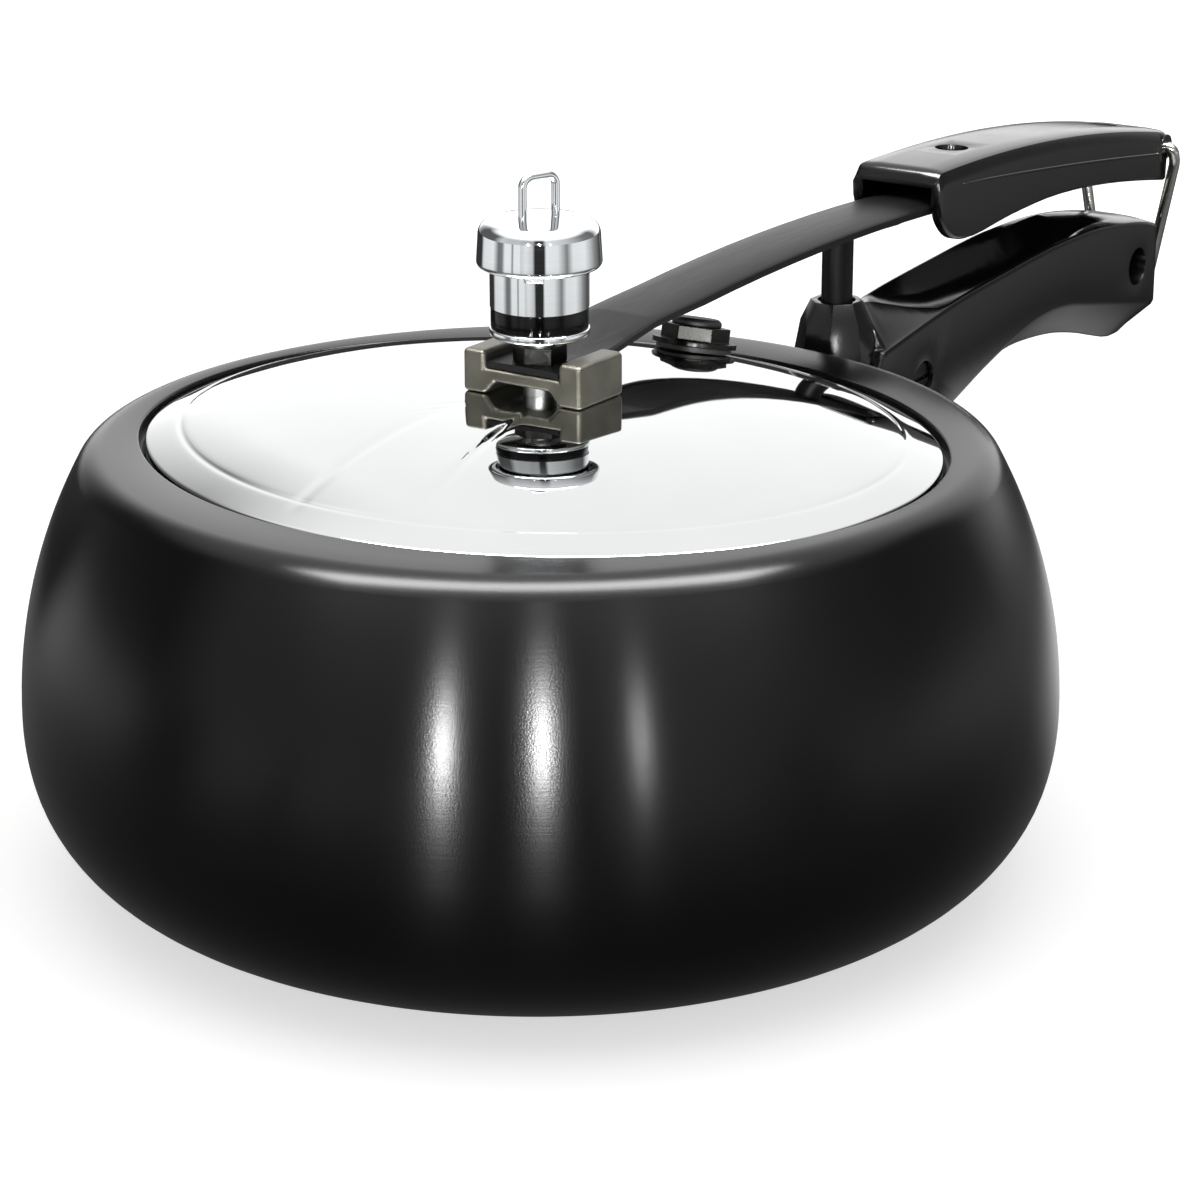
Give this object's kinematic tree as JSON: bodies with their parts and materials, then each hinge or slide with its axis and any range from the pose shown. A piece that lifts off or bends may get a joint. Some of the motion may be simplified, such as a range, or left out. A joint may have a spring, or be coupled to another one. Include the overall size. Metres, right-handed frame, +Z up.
{
  "type": "stovetop pressure cooker",
  "caption": "Stovetop pressure cooker: bellied dark pot, oval inner lid held by a lever bar, vent weight with finger loop, safety valve, moulded grips and a wire locking loop.",
  "frame": {"origin": "centre of the pot's base, on the table", "axes": "+X along the grips away from the pot, +Z up, +Y across the grips"},
  "size_m": [0.394, 0.2226, 0.1514],
  "materials": {
    "pot_anodised": "hard anodised, satin",
    "mirror_steel": "stainless steel, mirror polished",
    "steel": "plain machined steel",
    "wire_steel": "drawn stainless wire, bright",
    "chrome": "bright plated",
    "bar_dark": "dark epoxy coating, satin",
    "cast_dark": "dark coated casting, slightly rough",
    "dark_metal": "blackened, satin",
    "phenolic": "moulded phenolic, semi gloss",
    "gloss_black": "gloss black",
    "rubber": "matt",
    "tin": "dull fusible alloy"
  },
  "bodies": {
    "base": {"pot_body": "pot_anodised", "grip_bracket": "dark_metal", "bracket_rivets": "steel", "body_grip": "phenolic", "grip_bolt": "dark_metal", "grip_nut": "steel", "pillar_seat": "steel"},
    "lid": {"lid": "mirror_steel", "gasket": "rubber", "lid_bracket": "cast_dark", "lid_rivets": "steel", "handle_bar": "bar_dark", "pillar": "bar_dark", "lid_grip": "phenolic", "lid_grip_screws": "dark_metal", "lid_grip_nuts": "steel", "vent_tube": "steel", "vent_washer": "rubber", "vent_nut": "dark_metal", "valve_washer": "rubber", "valve_body": "dark_metal", "valve_plug": "tin", "valve_nut": "steel", "valve_cap": "rubber"},
    "loop": {"locking_loop": "wire_steel"},
    "weight": {"weight_cap": "chrome", "weight_barrel": "chrome", "weight_band": "gloss_black", "weight_ring": "chrome", "weight_core": "steel", "weight_clip": "steel", "finger_loop": "chrome"}
  },
  "joints": [
    {"name": "lid_lever", "type": "hinge", "parent": "base", "child": "lid", "pos_m": [0.1237, 0, 0.0944], "axis": [0, -1, 0], "range_deg": [0, 6]},
    {"name": "loop_swing", "type": "hinge", "parent": "lid", "child": "loop", "pos_m": [0.2793, 0, 0.1103], "axis": [0, -1, 0], "range_deg": [0, 110]},
    {"name": "weight_lift", "type": "slide", "parent": "lid", "child": "weight", "axis": [0, 0, 1], "range_m": [0, 0.03]}
  ]
}
